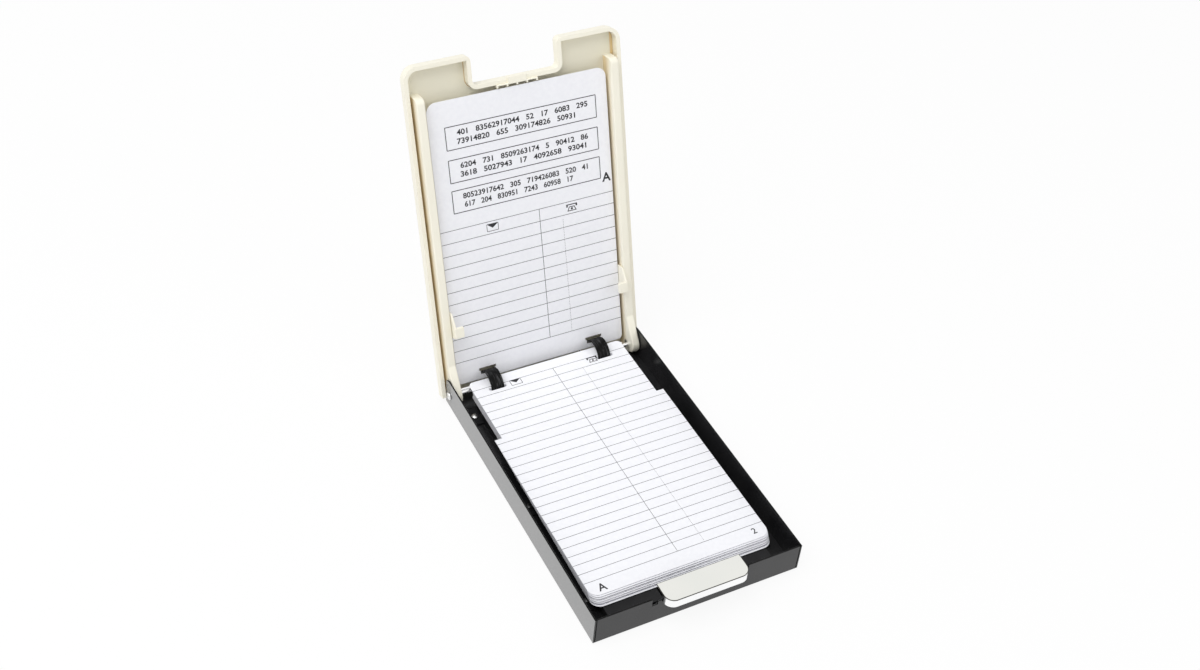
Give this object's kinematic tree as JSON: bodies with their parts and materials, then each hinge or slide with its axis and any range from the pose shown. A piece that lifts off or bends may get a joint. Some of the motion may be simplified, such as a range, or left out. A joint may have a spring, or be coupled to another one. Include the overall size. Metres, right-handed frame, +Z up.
{
  "type": "flip-up address index",
  "caption": "Flip-up address index: black steel tray of stepped cards under a sprung cream plastic lid, with a sliding letter selector and a bright press bar.",
  "frame": {"origin": "middle of the base pad's underside, which rests on the table", "axes": "+X across the tray to the right, +Y from the front wall to the hinge, +Z up"},
  "size_m": [0.115, 0.2341, 0.1735],
  "materials": {
    "pad": "matt",
    "tray_steel": "semi-gloss",
    "inner_steel": "satin",
    "strap": "satin",
    "bright_steel": "bright",
    "bar_chrome": "polished",
    "lid_plastic": "satin",
    "selector_plastic": "satin",
    "strip_paper": "matt",
    "card_paper": "matt"
  },
  "bodies": {
    "base": {"base_pad": "pad", "tray": "tray_steel", "card_bed": "inner_steel", "bed_rivets": "bright_steel", "card_arch_left": "strap", "card_arch_right": "strap", "arch_rivets": "bright_steel", "hinge_rod": "bright_steel", "rod_clip": "bright_steel", "spring_collars": "bright_steel", "latch_bracket": "inner_steel", "latch_rivets": "bright_steel", "latch_pin": "bright_steel", "latch_spring": "bright_steel"},
    "latch": {"press_bar": "bar_chrome", "latch_lever": "bright_steel", "bar_rivets": "bright_steel"},
    "lid": {"lid_shell": "lid_plastic", "letter_strip": "strip_paper", "lid_catch": "lid_plastic", "catch_screws": "bright_steel", "lid_spring_left": "bright_steel", "lid_spring_right": "bright_steel"},
    "selector": {"selector_bridge": "selector_plastic", "selector_knob": "selector_plastic", "finger_left": "selector_plastic", "finger_right": "selector_plastic", "finger_screws": "bright_steel", "detent_spring": "bright_steel"},
    "front_card": {"lid_card": "card_paper"},
    "upper_cards": {"index_card_01": "card_paper", "index_card_02": "card_paper", "index_card_03": "card_paper", "index_card_04": "card_paper", "index_card_05": "card_paper", "index_card_06": "card_paper", "index_card_07": "card_paper", "index_card_08": "card_paper", "index_card_09": "card_paper", "index_card_10": "card_paper"},
    "lower_cards": {"index_card_11": "card_paper", "index_card_12": "card_paper", "index_card_13": "card_paper", "index_card_14": "card_paper", "index_card_15": "card_paper", "index_card_16": "card_paper", "index_card_17": "card_paper", "index_card_18": "card_paper", "index_card_19": "card_paper", "index_card_20": "card_paper"}
  },
  "joints": [
    {"name": "lid_hinge", "type": "hinge", "parent": "base", "child": "lid", "pos_m": [0, 0.08, 0.0086], "axis": [-1, 0, 0], "range_deg": [-107, 0]},
    {"name": "lid_card_turn", "type": "hinge", "parent": "base", "child": "front_card", "pos_m": [0, 0.08, 0.0086], "axis": [-1, 0, 0], "range_deg": [-107, 0]},
    {"name": "selector_slide", "type": "slide", "parent": "lid", "child": "selector", "axis": [0, 0.2924, 0.9563], "range_m": [0, 0.104]},
    {"name": "latch_press", "type": "hinge", "parent": "base", "child": "latch", "pos_m": [0, -0.076, 0.005], "axis": [1, 0, 0], "range_deg": [-3.5, 4], "stiffness_Nm_per_rad": 0.25, "deforming": ["latch_spring"]},
    {"name": "lower_leaf", "type": "hinge", "parent": "base", "child": "lower_cards", "pos_m": [0, 0.08, 0.0086], "axis": [-1, 0, 0], "range_deg": [0, 45]},
    {"name": "upper_leaf", "type": "hinge", "parent": "lower_cards", "child": "upper_cards", "pos_m": [0, 0.08, 0.0086], "axis": [-1, 0, 0], "range_deg": [0, 50]}
  ],
  "couplings": [
    {"joint": "lid_card_turn", "follows": "lid_hinge", "ratio": 1}
  ]
}
